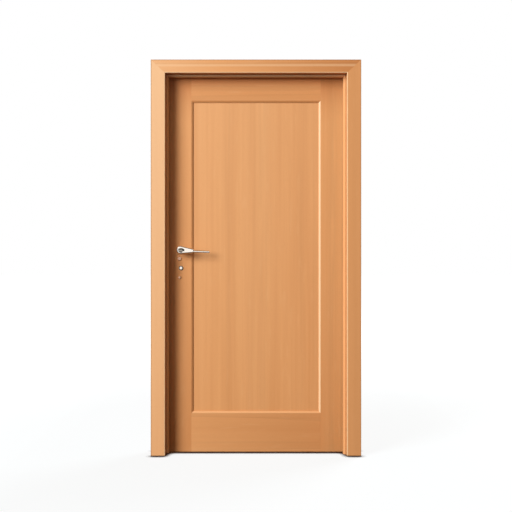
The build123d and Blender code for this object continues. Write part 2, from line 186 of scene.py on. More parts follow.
QUIET = Grain(rings=2.0, ring_depth=0.1, arching=0.1, wander=4.0 * MM, figure=0.15)
PLAIN = Grain(rings=4.0, ring_depth=0.7, arching=0.08, wander=10.0 * MM, figure=0.5)
GRAINS = {
    "casing_front_head": Grain(
        rings=7.0, ring_depth=0.7, arching=0.05, wander=8.0 * MM, figure=0.5
    ),
    "casing": Grain(rings=5.0, ring_depth=0.4, arching=0.08, wander=8.0 * MM, figure=0.4),
    "stop": QUIET,
    "head_jamb": QUIET,
    "hinge_jamb": QUIET,
    "lock_jamb": QUIET,
    "bead": QUIET,
    "bottom_rail": Grain(
        rings=6.0, ring_depth=0.6, arching=0.16, wander=12.0 * MM, figure=0.5
    ),
    "top_rail": Grain(rings=5.0, ring_depth=0.5, arching=0.12, wander=12.0 * MM, figure=0.5),
    "panel": Grain(rings=3.0, ring_depth=0.9, arching=0.03, wander=8.0 * MM, figure=0.6),
}


class Tint(NamedTuple):
    """A painted shade that a board takes over some width towards its low or high long edge."""

    edge: str
    width: float
    colour: tuple


# Painted shade towards one long edge: across the hinge stile against the light that bounces from the
# lit jamb, across the panel where the light falls off towards the hinge side, along the top rail
# under the head, on the bevel of the head stop, and on the front of the hinge-side stop beside the
# jamb.
PAINTED_SHADES = {
    "hinge_stile": Tint("high", 127.0 * MM, (0.82, 0.91, 0.93, 1.0)),
    "panel": Tint("high", 700.0 * MM, (0.96, 0.93, 0.90, 1.0)),
    "top_rail": Tint("high", 50.0 * MM, (0.88, 0.62, 0.48, 1.0)),
    "stop_head": Tint("low", 9.0 * MM, (0.45, 0.22, 0.06, 1.0)),
    "stop_hinge_side": Tint("high", 7.0 * MM, (0.60, 0.62, 0.64, 1.0)),
}
UNSHADED = Tint("high", 1.0, WHITE)

# A band of sapwood along a board: its distance from the board's high edge, its width, and how
# pale it is.
SAPWOOD_BANDS = {"casing_front_head": (25.0 * MM, 20.0 * MM, 0.55)}
NO_BAND = (0.0, 1.0, 0.0)


def colour_setting(name, description, default):
    """A colour that a user may change."""
    return bpy.props.FloatVectorProperty(
        name=name, description=description, default=default, subtype="COLOR", min=0.0, max=1.0
    )


def share_setting(name, description, default, most=1.0):
    """A share that a user may change."""
    return bpy.props.FloatProperty(
        name=name, description=description, default=default, subtype="FACTOR", min=0.0, max=most
    )


def length_setting(name, description, default, least=0.0):
    """A length that a user may change."""
    return bpy.props.FloatProperty(
        name=name,
        description=description,
        default=default,
        subtype="DISTANCE",
        unit="LENGTH",
        min=least,
    )


def angle_setting(name, description, default):
    """An angle that a user may change."""
    return bpy.props.FloatProperty(
        name=name, description=description, default=default, subtype="ANGLE", unit="ROTATION"
    )


def power_setting(name, description, default):
    """A lamp's power that a user may change."""
    return bpy.props.FloatProperty(
        name=name,
        description=description,
        default=default,
        subtype="POWER",
        unit="POWER",
        min=0.0,
    )


class DoorTimberSettings(bpy.types.PropertyGroup):
    """Colours and figure of the lacquered timber."""

    pale: colour_setting(
        "Pale wood", "Colour of the early wood between the growth lines", (0.80, 0.398, 0.165)
    )
    deep: colour_setting(
        "Deep wood", "Colour of the growth lines and of the redder streaks", (0.66, 0.280, 0.095)
    )
    sapwood: colour_setting("Sapwood", "Colour of the palest boards", (0.89, 0.575, 0.325))
    heartwood: colour_setting(
        "Heartwood", "Colour of the reddest and darkest boards", (0.50, 0.175, 0.048)
    )
    # The pores' colour is also the colour of the painted shade at board edges away from the opening.
    pore: colour_setting("Pores", "Colour of the short dark pores", (0.34, 0.125, 0.038))
    figure: share_setting("Figure", "How strongly the growth lines show", 1.0)
    ring_depth: share_setting(
        "Ring depth", "How much darker the late wood at the end of each growth ring is", 0.14
    )
    # Painted shade that darkens the stiles towards their top ends.
    stile_top_shade: colour_setting(
        "Stile top", "Tint that the stiles take at their top ends", (0.66, 0.47, 0.34)
    )
    stile_top_shade_reach: length_setting(
        "Stile top reach", "How far down from the stiles' top ends the tint reaches", 270.0 * MM
    )
    # Painted contact shadow: a dark line along the foot of the casings and the lock-side stop.
    foot_shade: length_setting(
        "Foot line", "Height of the dark line where the casings meet the floor", 7.0 * MM
    )
    foot_shade_colour: colour_setting(
        "Foot colour",
        "Colour of the dark line where the casings meet the floor",
        (0.05, 0.02, 0.008),
    )
    lacquer: share_setting("Lacquer", "Strength of the lacquer's shine", 0.22)
    # Painted highlight on the edges towards the opening, painted shade on the edges away from it, and
    # how far both reach in.
    wear: share_setting("Edge wear", "How pale the edges towards the opening are", 1.0)
    painted_edge_light: colour_setting("Edge highlight colour", "Colour of the edges towards the opening", (1.0, 0.76, 0.47))
    stain: share_setting("Edge stain", "How dark the edges away from the opening are", 0.9)
    edge_paint_reach: length_setting(
        "Edge reach", "How far the paler or darker wood reaches in from an edge", 5.0 * MM
    )
    roughness: share_setting("Roughness", "Roughness of the satin lacquer", 0.42)
    arris: length_setting("Arris", "Radius over which the sharp edges look eased", 1.2 * MM)


class DoorMetalSettings(bpy.types.PropertyGroup):
    """Colours and polish of the fittings."""

    # The chrome's warm tint is partly its own colour and partly a painted reflection of the wood
    # around it.
    chrome: colour_setting(
        "Chrome", "Colour of the levers, the roses and the cylinders' plugs", (1.0, 0.92, 0.82)
    )
    steel: colour_setting(
        "Steel", "Colour of the hinges, the lock and the strike plate", (0.58, 0.57, 0.55)
    )
    nickel: colour_setting("Nickel", "Colour of the key cylinders' bodies", (0.22, 0.205, 0.19))
    dish_colour: colour_setting(
        "Dish", "Colour of the darkened dish in each lever's root", (0.32, 0.28, 0.235)
    )
    dish_length: length_setting("Dish length", "Length of the oval dish", 36.0 * MM)
    dish_width: length_setting("Dish width", "Width of the oval dish", 23.0 * MM)
    dish_inset: length_setting(
        "Dish inset", "Distance from the lever's round end to the middle of its dish", 25.5 * MM
    )
    dish_drop: length_setting(
        "Dish drop", "Distance from the lever's top down to the middle of its dish", 23.0 * MM
    )
    plug_radius: length_setting(
        "Plug radius", "Radius of the plug that turns in a key cylinder", 6.5 * MM
    )
    chrome_roughness: share_setting("Chrome roughness", "Roughness of the polished chrome", 0.05)
    steel_roughness: share_setting("Steel roughness", "Roughness of the satin steel", 0.32)


class DoorScrewSettings(bpy.types.PropertyGroup):
    """Sizes of the countersunk screws."""

    head_radius: length_setting("Head radius", "Radius of a countersunk screw head", 4.2 * MM)
    recess_radius: length_setting(
        "Recess radius", "Reach of each arm of the cross recess", 2.3 * MM
    )
    recess_depth: length_setting("Recess depth", "Depth of the cross recess", 1.2 * MM)
    head_depth: length_setting(
        "Head depth", "Depth of the countersunk head, deeper than its recess", 2.0 * MM
    )
    hinge_column: length_setting(
        "Column spacing",
        "Distance between the two staggered columns of screws in a hinge flap",
        10.0 * MM,
    )


class DoorStageSettings(bpy.types.PropertyGroup):
    """Camera, lamps and floor."""

    lens: bpy.props.FloatProperty(
        name="Lens",
        description="Focal length of the camera in millimetres",
        default=60.75,
        subtype="DISTANCE_CAMERA",
        unit="CAMERA",
        min=1.0,
    )
    camera_distance: length_setting(
        "Camera distance", "Distance from the casing's face to the camera", 4.5, least=0.1
    )
    camera_height: length_setting("Camera height", "Height of the camera above the floor", 1.0448)
    key_azimuth: angle_setting(
        "Key azimuth",
        "How far to the left of the camera's view the key lamp stands",
        math.radians(42.2),
    )
    key_elevation: angle_setting(
        "Key elevation", "How far above the door's middle the key lamp hangs", math.radians(20.5)
    )
    key_distance: length_setting(
        "Key distance", "Distance from the door's middle to the key lamp", 12.0, least=0.1
    )
    key_width: length_setting(
        "Key width",
        "Width of the key lamp, which sets how soft the shadows of upright edges are",
        5.8,
        least=0.01,
    )
    key_height: length_setting(
        "Key height",
        "Height of the key lamp, which sets how soft the shadows of level edges are",
        8.0,
        least=0.01,
    )
    key_power: power_setting("Key power", "Power of the key lamp", 1795.0)
    back_power: power_setting("Back power", "Power of the lamp that lights the door's back", 1400.0)
    ambient: bpy.props.FloatProperty(
        name="Ambient",
        description="Strength of the even light from the room",
        default=0.215,
        min=0.0,
    )
    ambient_colour: colour_setting(
        "Ambient colour", "Colour of the even light from the room", (1.0, 0.68, 0.40)
    )
    flag_distance: length_setting(
        "Flag distance",
        "Distance from the door's middle to the dark flags that the metal reflects",
        1.25,
        least=0.1,
    )
    flag_width: length_setting(
        "Flag width", "Height of the side flags and width of the two others", 2.2, least=0.01
    )
    flag_length: length_setting(
        "Flag length", "Length of the flags from front to back", 5.0, least=0.01
    )
    floor_colour: colour_setting("Floor", "Colour of the floor", (0.105, 0.125, 0.135))
    floor_glow: share_setting(
        "Floor glow", "How bright the floor shows in the camera before light falls on it", 0.86
    )
    contact_reach: length_setting(
        "Contact shade", "Distance over which the floor darkens towards what stands on it", 0.035
    )
    contact_start: share_setting(
        "Contact start",
        "Share of open sky below which the floor is as dark as the contact colour",
        0.55,
        most=0.99,
    )
    # The colour of the painted contact shade on the floor.
    contact_shade_colour: colour_setting(
        "Contact colour",
        "Colour of the floor where the door all but touches it",
        (0.05, 0.015, 0.003),
    )
    fade_start: length_setting(
        "Fade start", "Distance from the door at which the floor starts to fade to white", 2.0
    )
    fade_end: length_setting(
        "Fade end", "Distance from the door at which the floor is as white as the background", 6.0
    )


def new_group(name, inputs, outputs):
    """A shader node group with its input and output nodes. Sockets are (name, type, default)."""
    group = bpy.data.node_groups.new(name, "ShaderNodeTree")
    for socket_name, kind, default in inputs:
        socket = group.interface.new_socket(socket_name, in_out="INPUT", socket_type=kind)
        if default is not None:
            socket.default_value = default
    for socket_name, kind in outputs:
        group.interface.new_socket(socket_name, in_out="OUTPUT", socket_type=kind)
    source = group.nodes.new("NodeGroupInput")
    sink = group.nodes.new("NodeGroupOutput")
    return group, source.outputs, sink.inputs


def add_node(tree, kind, links=None, **settings):
    """Adds a node, sets its properties, and fills or links its inputs by name or number."""
    node = tree.nodes.new(kind)
    for key, value in settings.items():
        setattr(node, key, value)
    for key, value in (links or {}).items():
        if isinstance(value, bpy.types.NodeSocket):
            tree.links.new(value, node.inputs[key])
        else:
            node.inputs[key].default_value = value
    return node


def combine(tree, operation, first, second=0.0, clamp=False):
    """The result of one math node."""
    node = add_node(tree, "ShaderNodeMath", {0: first, 1: second}, operation=operation)
    node.use_clamp = clamp
    return node.outputs[0]


def vector_maths(tree, operation, links):
    """The resulting vector of one vector math node."""
    return add_node(tree, "ShaderNodeVectorMath", links, operation=operation).outputs[0]


def length_of(tree, vector):
    """The length of a vector."""
    node = add_node(tree, "ShaderNodeVectorMath", {0: vector}, operation="LENGTH")
    return node.outputs["Value"]


def streaks(tree, vector, across, along, detail=2.0, roughness=0.5):
    """Noise drawn out along the grain. Across and along are its lines per metre each way."""
    scale = add_node(tree, "ShaderNodeCombineXYZ", {0: across, 1: across, 2: along}).outputs[0]
    stretched = add_node(
        tree, "ShaderNodeMapping", {"Vector": vector, "Scale": scale}
    ).outputs[0]
    return add_node(
        tree,
        "ShaderNodeTexNoise",
        {"Vector": stretched, "Scale": 1.0, "Detail": detail, "Roughness": roughness},
    ).outputs["Fac"]


def spread(tree, value, low, high):
    """Stretches the part of a mask between low and high to the range from 0 to 1."""
    node = add_node(
        tree, "ShaderNodeMapRange", {"Value": value, "From Min": low, "From Max": high}
    )
    return node.outputs[0]


def blend_colours(tree, factor, first, second, kind="MIX"):
    """The result of one colour mix node."""
    links = {MIX_FACTOR: factor, MIX_FIRST: first, MIX_SECOND: second}
    node = add_node(tree, "ShaderNodeMix", links, data_type="RGBA", blend_type=kind)
    return node.outputs[MIX_RESULT]


def opaque(colour):
    """A colour with its alpha."""
    return (*colour, 1.0)


def with_painted_shade(tree, share, colour, painted_light):
    """A colour that takes a painted shade as far as a mask says."""
    return blend_colours(tree, share, colour, blend_colours(tree, 1.0, colour, painted_light, "MULTIPLY"))


def drifting_grain(tree, place, wander):
    """How far the grain strays from straight at each place."""
    stretched = add_node(
        tree, "ShaderNodeMapping", {"Vector": place, "Scale": DRIFT}
    ).outputs[0]
    drift = add_node(
        tree, "ShaderNodeTexNoise", {"Vector": stretched, "Scale": 1.0, "Detail": 1.0}
    ).outputs["Color"]
    return vector_maths(tree, "SCALE", {0: drift, "Scale": wander})


def grain_figure(tree, bent):
    """Broad bands, lines and fine streaks in one mask from pale to deep wood."""
    broad = streaks(tree, bent, across=14.0, along=0.5)
    lines = streaks(tree, bent, across=75.0, along=0.9, detail=3.0, roughness=0.6)
    masks = {
        "broad": spread(tree, broad, low=0.34, high=0.66),
        "lines": spread(tree, lines, low=0.36, high=0.66),
        "fine": streaks(tree, bent, across=420.0, along=5.0),
    }
    figure = 0.0
    for name, share in FIGURE_SHARES.items():
        figure = combine(tree, "ADD", figure, combine(tree, "MULTIPLY", masks[name], share))
    return figure


def late_wood(tree, bent, arching, rings):
    """The dark end of each growth ring, broken up along the grain."""
    across_rings = streaks(tree, bent, across=9.0, along=arching, detail=1.0)
    growth = combine(tree, "MULTIPLY", across_rings, rings)
    ring = combine(tree, "POWER", combine(tree, "FRACT", growth), RING_CURVE)
    broken = spread(tree, streaks(tree, bent, across=40.0, along=1.6), low=0.34, high=0.60)
    shown = combine(tree, "ADD", broken, RING_LEAST, clamp=True)
    return combine(tree, "MULTIPLY", ring, shown)


def pale_flecks(tree, bent, share):
    """A mask of short pale flecks, as strong as their share."""
    flecks = spread(
        tree, streaks(tree, bent, across=55.0, along=7.0, detail=1.0), low=0.62, high=0.74
    )
    return combine(tree, "MULTIPLY", flecks, combine(tree, "MULTIPLY", share, FLECK_SHARE))


def board_tone(tree, body, along, given):
    """Wood that turns from the tone of a board's low end to the tone of its high end; for some boards
    these tones are painted light and shade.
    """
    tone = add_node(
        tree,
        "ShaderNodeMapRange",
        {
            "Value": along,
            "From Min": given["Low End"],
            "From Max": given["High End"],
            "To Min": given["Low Tone"],
            "To Max": given["High Tone"],
        },
    ).outputs[0]
    paler = combine(tree, "MAXIMUM", tone, 0.0, clamp=True)
    redder = combine(tree, "MAXIMUM", combine(tree, "MULTIPLY", tone, -1.0), 0.0, clamp=True)
    body = blend_colours(tree, paler, body, given["Sapwood"])
    return blend_colours(tree, redder, body, given["Heartwood"])


def sapwood_band(tree, across, given):
    """A mask of the pale band along a board, with its middle at the band's place."""
    off_middle = combine(tree, "SUBTRACT", across, given["Band Place"])
    aside = combine(tree, "ABSOLUTE", off_middle)
    half = combine(tree, "MULTIPLY", given["Band Width"], 0.5)
    return combine(tree, "MULTIPLY", spread(tree, aside, half, 0.0), given["Band Strength"])


def timber_group():
    """Growth lines, streaks, fibres and pores that run along the group's own Z axis, with the board's
    tone, which for some boards is painted light and shade, and painted shade towards one long edge
    and towards a stile's top.
    """
    group, given, result = new_group(
        "timber_figure",
        (
            ("Vector", "NodeSocketVector", None),
            ("Board", "NodeSocketFloat", 0.0),
            ("Pale", "NodeSocketColor", (0.7, 0.3, 0.1, 1.0)),
            ("Deep", "NodeSocketColor", (0.5, 0.2, 0.06, 1.0)),
            ("Sapwood", "NodeSocketColor", (0.9, 0.6, 0.3, 1.0)),
            ("Heartwood", "NodeSocketColor", (0.5, 0.2, 0.05, 1.0)),
            ("Pore", "NodeSocketColor", (0.3, 0.1, 0.03, 1.0)),
            ("Figure", "NodeSocketFloat", 0.5),
            ("Rings", "NodeSocketFloat", 5.0),
            ("Ring Depth", "NodeSocketFloat", 0.1),
            ("Arching", "NodeSocketFloat", 0.1),
            ("Wander", "NodeSocketFloat", 0.01),
            ("Side Start", "NodeSocketFloat", 0.0),
            ("Side End", "NodeSocketFloat", 1.0),
            ("Side Shade", "NodeSocketColor", WHITE),
            ("Top Start", "NodeSocketFloat", 0.0),
            ("Top End", "NodeSocketFloat", 1.0),
            ("Top Shade", "NodeSocketColor", WHITE),
            ("Band Place", "NodeSocketFloat", 0.0),
            ("Band Width", "NodeSocketFloat", 0.02),
            ("Band Strength", "NodeSocketFloat", 0.0),
            ("Low End", "NodeSocketFloat", 0.0),
            ("High End", "NodeSocketFloat", 1.0),
            ("Low Tone", "NodeSocketFloat", 0.0),
            ("High Tone", "NodeSocketFloat", 0.0),
        ),
        (("Color", "NodeSocketColor"), ("Height", "NodeSocketFloat"), ("Fibre", "NodeSocketFloat")),
    )
    offset = vector_maths(group, "SCALE", {0: BOARD_OFFSET, "Scale": given["Board"]})
    place = vector_maths(group, "ADD", {0: given["Vector"], 1: offset})
    wander = drifting_grain(group, place, given["Wander"])
    bent = vector_maths(group, "ADD", {0: place, 1: wander})
    wavy = vector_maths(group, "ADD", {0: given["Vector"], 1: wander})
    axes = add_node(group, "ShaderNodeSeparateXYZ", {0: given["Vector"]}).outputs
    wavy_axes = add_node(group, "ShaderNodeSeparateXYZ", {0: wavy}).outputs

    figure = grain_figure(group, bent)
    figure = combine(group, "MULTIPLY", figure, given["Figure"], clamp=True)
    body = blend_colours(group, figure, given["Pale"], given["Deep"])
    body = board_tone(group, body, axes["Z"], given)
    band = sapwood_band(group, wavy_axes["X"], given)
    for mask in (band, pale_flecks(group, bent, given["Figure"])):
        body = blend_colours(group, mask, body, given["Sapwood"])
    # Painted shade towards one long edge, and towards the top of a stile.
    side = spread(group, axes["X"], given["Side Start"], given["Side End"])
    body = with_painted_shade(group, side, body, given["Side Shade"])
    top_shade_mask = spread(group, axes["Z"], given["Top Start"], given["Top End"])
    body = with_painted_shade(group, combine(group, "POWER", top_shade_mask, TOP_SHADE_CURVE), body, given["Top Shade"])
    late = late_wood(group, bent, given["Arching"], given["Rings"])
    dark_share = combine(group, "MULTIPLY", late, given["Ring Depth"])
    grey = combine(group, "SUBTRACT", 1.0, dark_share)
    body = blend_colours(group, 1.0, body, grey, "MULTIPLY")
    pores = spread(
        group, streaks(group, bent, across=900.0, along=45.0, detail=0.0), low=0.66, high=0.74
    )
    pore_mask = combine(group, "MULTIPLY", pores, PORE_SHARE)
    colour = blend_colours(group, pore_mask, body, given["Pore"])

    fibres = streaks(group, place, across=1500.0, along=28.0, detail=1.0)
    raised = combine(group, "MULTIPLY", fibres, FIBRE_SHARE)
    height = combine(group, "SUBTRACT", raised, pores)
    group.links.new(colour, result["Color"])
    group.links.new(height, result["Height"])
    group.links.new(fibres, result["Fibre"])
    return group


def arris_group():
    """A mask of one long edge of a board, from how near a point lies to the edge's two faces."""
    group, given, result = new_group(
        "edge_paint_mask",
        (
            ("Across", "NodeSocketFloat", 0.0),
            ("Depth", "NodeSocketFloat", 0.0),
            ("Edge", "NodeSocketFloat", 0.0),
            ("Depth Low", "NodeSocketFloat", 0.0),
            ("Depth High", "NodeSocketFloat", 1.0),
            ("Reach", "NodeSocketFloat", 0.005),
            ("Strength", "NodeSocketFloat", 0.5),
        ),
        (("Mask", "NodeSocketFloat"),),
    )
    aside = combine(group, "ABSOLUTE", combine(group, "SUBTRACT", given["Across"], given["Edge"]))
    from_low = combine(group, "SUBTRACT", given["Depth"], given["Depth Low"])
    from_high = combine(group, "SUBTRACT", given["Depth High"], given["Depth"])
    mask = given["Strength"]
    for distance in (aside, combine(group, "MINIMUM", from_low, from_high)):
        share = combine(group, "DIVIDE", distance, given["Reach"], clamp=True)
        mask = combine(group, "MULTIPLY", mask, combine(group, "SUBTRACT", 1.0, share))
    group.links.new(mask, result["Mask"])
    return group


def handling_group():
    """Faint smears and fine scratches for the metal."""
    group, given, result = new_group(
        "metal_handling",
        (
            ("Vector", "NodeSocketVector", None),
            ("Roughness", "NodeSocketFloat", 0.2),
            ("Smear", "NodeSocketFloat", 0.05),
        ),
        (("Roughness", "NodeSocketFloat"), ("Height", "NodeSocketFloat")),
    )
    cloud = streaks(group, given["Vector"], across=60.0, along=60.0, detail=3.0)
    scratch = streaks(group, given["Vector"], across=2600.0, along=120.0, detail=1.0)
    smear = combine(group, "MULTIPLY", spread(group, cloud, low=0.35, high=0.7), given["Smear"])
    group.links.new(combine(group, "ADD", given["Roughness"], smear), result["Roughness"])
    group.links.new(scratch, result["Height"])
    return group


def shader_of(material):
    """The Principled shader of a material."""
    return material.node_tree.nodes["Principled BSDF"]


def new_material(name):
    """A material with its node tree, its Principled shader and Object coordinates."""
    material = bpy.data.materials.new(name)
    material.use_nodes = True
    tree = material.node_tree
    place = tree.nodes.new("ShaderNodeTexCoord").outputs["Object"]
    return material, tree, shader_of(material), place


def edges_across(node, low, high, crossways):
    """Where a board's edges towards and away from the door's opening lie, across its grain."""
    if crossways:
        inner, outer = low.z, high.z
    elif node.endswith("hinge_side"):
        inner, outer = low.x, high.x
    else:
        inner, outer = high.x, low.x
    if node.startswith("stop"):
        inner += math.copysign(STOP_BEVEL, outer - inner)
    return inner, outer


def side_reach(painted_light, low_across, high_across):
    """Where a painted shade starts and where it is full, across the grain."""
    if painted_light.edge == "high":
        return high_across - painted_light.width, high_across
    return low_across + painted_light.width, low_across


def paint_edge_light_and_shade(tree, colour, place, node, crossways, settings):
    """Painted shade at a board's edge away from the opening and a painted highlight at the one
    towards it; an upright board also gets a painted contact shadow along its foot.
    """
    low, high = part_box(node)
    axes = add_node(tree, "ShaderNodeSeparateXYZ", {0: place}).outputs
    inner, outer = edges_across(node, low, high, crossways)
    wear = settings.wear * (STOP_HIGHLIGHT if node.startswith("stop") else 1.0)
    # Painted shade in the pores' colour at the outer edge, and a painted highlight at the inner edge.
    for edge, strength, painted_light in (
        (outer, settings.stain, settings.pore),
        (inner, wear, settings.painted_edge_light),
    ):
        painted_edge_light = add_node(
            tree,
            "ShaderNodeGroup",
            {
                "Across": axes["Z" if crossways else "X"],
                "Depth": axes["Y"],
                "Edge": edge,
                "Depth Low": low.y,
                "Depth High": high.y,
                "Reach": settings.edge_paint_reach,
                "Strength": strength,
            },
            node_tree=shared_group("edge_paint_mask", arris_group),
        )
        colour = blend_colours(tree, painted_edge_light.outputs["Mask"], colour, opaque(painted_light))
    # Painted contact shadow: a dark line along the foot of an upright board, where it meets the
    # floor.
    if not crossways:
        line = spread(tree, axes["Z"], low.z + settings.foot_shade, low.z + settings.foot_shade / 2)
        colour = blend_colours(tree, line, colour, opaque(settings.foot_shade_colour))
    return colour


def timber_material(node, board, crossways, tones_and_painted_light, settings):
    """Lacquered timber of one board, with its grain turned along the piece."""
    material, tree, shader, place = new_material(f"timber_{node}")
    low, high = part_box(node)
    grain = next((grain for start, grain in GRAINS.items() if node.startswith(start)), PLAIN)
    painted_light = PAINTED_SHADES.get(node, UNSHADED)
    low_across, high_across = (low.z, high.z) if crossways else (low.x, high.x)
    side_start, side_end = side_reach(painted_light, low_across, high_across)
    band_inset, band_width, band_strength = SAPWOOD_BANDS.get(node, NO_BAND)
    turned = add_node(
        tree,
        "ShaderNodeMapping",
        {"Vector": place, "Rotation": ALONG_X if crossways else ALONG_Z},
    ).outputs[0]
    figure = add_node(
        tree,
        "ShaderNodeGroup",
        {
            "Vector": turned,
            "Board": board,
            "Pale": opaque(settings.pale),
            "Deep": opaque(settings.deep),
            "Sapwood": opaque(settings.sapwood),
            "Heartwood": opaque(settings.heartwood),
            "Pore": opaque(settings.pore),
            "Figure": settings.figure * grain.figure,
            "Rings": grain.rings,
            "Ring Depth": settings.ring_depth * grain.ring_depth,
            "Arching": grain.arching,
            "Wander": grain.wander,
            # Painted shade along one long edge of the board.
            "Side Start": side_start,
            "Side End": side_end,
            "Side Shade": painted_light.colour,
            # Painted shade towards the top of each stile.
            "Top Start": high.z - settings.stile_top_shade_reach,
            "Top End": high.z,
            "Top Shade": opaque(settings.stile_top_shade) if node.endswith("_stile") else WHITE,
            "Band Place": high_across - band_inset,
            "Band Width": band_width,
            "Band Strength": band_strength,
            "Low End": -high.x if crossways else low.z,
            "High End": -low.x if crossways else high.z,
            "Low Tone": tones_and_painted_light[0],
            "High Tone": tones_and_painted_light[1],
        },
        node_tree=shared_group("timber_figure", timber_group),
    )
    colour = figure.outputs["Color"]
    # Painted highlight and shade at the edges, and a painted contact shadow at the foot.
    if node.startswith(PAINTED_EDGE_BOARDS):
        colour = paint_edge_light_and_shade(tree, colour, place, node, crossways, settings)
    tree.links.new(colour, shader.inputs["Base Color"])
    shader.inputs["Specular IOR Level"].default_value = settings.lacquer
    gloss = combine(tree, "MULTIPLY", figure.outputs["Fibre"], GLOSS_SPREAD)
    gloss = combine(tree, "ADD", gloss, settings.roughness - GLOSS_SPREAD / 2)
    tree.links.new(gloss, shader.inputs["Roughness"])
    eased = add_node(tree, "ShaderNodeBevel", {"Radius": settings.arris}, samples=6)
    bump = add_node(
        tree,
        "ShaderNodeBump",
        {
            "Strength": FIBRE_STRENGTH,
            "Distance": FIBRE_RELIEF,
            "Height": figure.outputs["Height"],
            "Normal": eased.outputs[0],
        },
    )
    tree.links.new(bump.outputs[0], shader.inputs["Normal"])
    return material


def metal_material(name, group, colour, roughness, smear):
    """Plated or satin metal with faint signs of handling."""
    material, tree, shader, place = new_material(name)
    shader.inputs["Base Color"].default_value = opaque(colour)
    shader.inputs["Metallic"].default_value = 1.0
    handling = add_node(
        tree,
        "ShaderNodeGroup",
        {"Vector": place, "Roughness": roughness, "Smear": smear},
        node_tree=group,
    ).outputs
    tree.links.new(handling["Roughness"], shader.inputs["Roughness"])
    bump = add_node(
        tree,
        "ShaderNodeBump",
        {"Strength": SCRATCH_STRENGTH, "Distance": SCRATCH_RELIEF, "Height": handling["Height"]},
    )
    tree.links.new(bump.outputs[0], shader.inputs["Normal"])
    return material


def chrome_material(name, group, settings):
    """Polished chrome all over."""
    return metal_material(name, group, settings.chrome, settings.chrome_roughness, CHROME_SMEAR)


class Inlay(NamedTuple):
    """An oval of one colour in a face of another, and how soft its rim is."""

    middle: Vector
    length: float
    width: float
    fade: float
    inside: tuple
    outside: tuple


def inlaid_chrome(node, group, settings, inlay):
    """Polished chrome that takes the two colours of an inlay."""
    material = chrome_material(f"metal_{node}", group, settings)
    tree = material.node_tree
    place = tree.nodes.new("ShaderNodeTexCoord").outputs["Object"]
    middle = (inlay.middle.x, 0.0, inlay.middle.z)
    aside = vector_maths(tree, "SUBTRACT", {0: place, 1: middle})
    scale = (2.0 / inlay.length, 0.0, 2.0 / inlay.width)
    level = vector_maths(tree, "MULTIPLY", {0: aside, 1: scale})
    outside = spread(tree, length_of(tree, level), 1.0 - inlay.fade, 1.0)
    colour = blend_colours(tree, outside, opaque(inlay.inside), opaque(inlay.outside))
    tree.links.new(colour, shader_of(material).inputs["Base Color"])
    return material


def cylinder_material(node, group, settings):
    """A key cylinder: a polished plug that turns in a dark nickel body."""
    low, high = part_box(node)
    plug = Inlay(
        middle=(low + high) / 2,
        length=2.0 * settings.plug_radius,
        width=2.0 * settings.plug_radius,
        fade=PLUG_FADE,
        inside=settings.chrome,
        outside=settings.nickel,
    )
    return inlaid_chrome(node, group, settings, plug)


def lever_material(node, group, settings):
    """A lever: polished chrome, darkened in the oval dish of its root."""
    low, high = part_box(node)
    dish = Inlay(
        middle=Vector((low.x + settings.dish_inset, 0.0, high.z - settings.dish_drop)),
        length=settings.dish_length,
        width=settings.dish_width,
        fade=DISH_FADE,
        inside=settings.dish_colour,
        outside=settings.chrome,
    )
    return inlaid_chrome(node, group, settings, dish)


def dress(node, material):
    """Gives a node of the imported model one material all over."""
    mesh = NODES[node].data
    mesh.materials.clear()
    mesh.materials.append(material)


def named(*starts):
    """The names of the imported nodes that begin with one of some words, in order."""
    return sorted(name for name in NODES if name.startswith(starts))


def shared_group(name, make):
    """A node group by its name, made the first time that it is asked for."""
    return bpy.data.node_groups.get(name) or make()


def dress_timber(names, crossways, settings):
    """Each board gets a material of its own, so that no two show the same figure."""
    for number, name in enumerate(names):
        tones_and_painted_light = TONES_AND_PAINTED_LIGHT.get(name, (0.0, 0.0))
        board = number * BOARD_STEP + len(name)
        dress(name, timber_material(name, board, name.endswith(crossways), tones_and_painted_light, settings))


class DOOR_OT_frame_timber(bpy.types.Operator):
    """Finish the jambs, stops and casings in lacquered timber."""

    bl_idname = "door.frame_timber"
    bl_label = "Frame Timber"

    def execute(self, context):
        names = named("casing", "stop", "head_jamb", "lock_jamb") + ["hinge_jamb"]
        dress_timber(names, ("_head", "head_jamb"), context.scene.door_timber)
        return {"FINISHED"}


class DOOR_OT_leaf_timber(bpy.types.Operator):
    """Finish the stiles, rails and beads in lacquered timber."""

    bl_idname = "door.leaf_timber"
    bl_label = "Leaf Timber"

    def execute(self, context):
        names = named("bead", "bottom_rail", "top_rail", "hinge_stile", "lock_stile")
        crossways = ("_rail", "_top", "_bottom")
        dress_timber(names, crossways, context.scene.door_timber)
        return {"FINISHED"}


class DOOR_OT_panel_veneer(bpy.types.Operator):
    """Finish the panel and the cover caps in veneer, the caps with a glossier lacquer."""

    bl_idname = "door.panel_veneer"
    bl_label = "Panel Veneer"

    def execute(self, context):
        settings = context.scene.door_timber
        dress_timber(["panel"] + named("cover_caps"), (), settings)
        for name in named("cover_caps"):
            shader = shader_of(NODES[name].data.materials[0])
            shader.inputs["Coat Weight"].default_value = 1.0
            shader.inputs["Coat Roughness"].default_value = CAP_COAT_ROUGHNESS
            shader.inputs["Coat IOR"].default_value = CAP_COAT_IOR
        return {"FINISHED"}


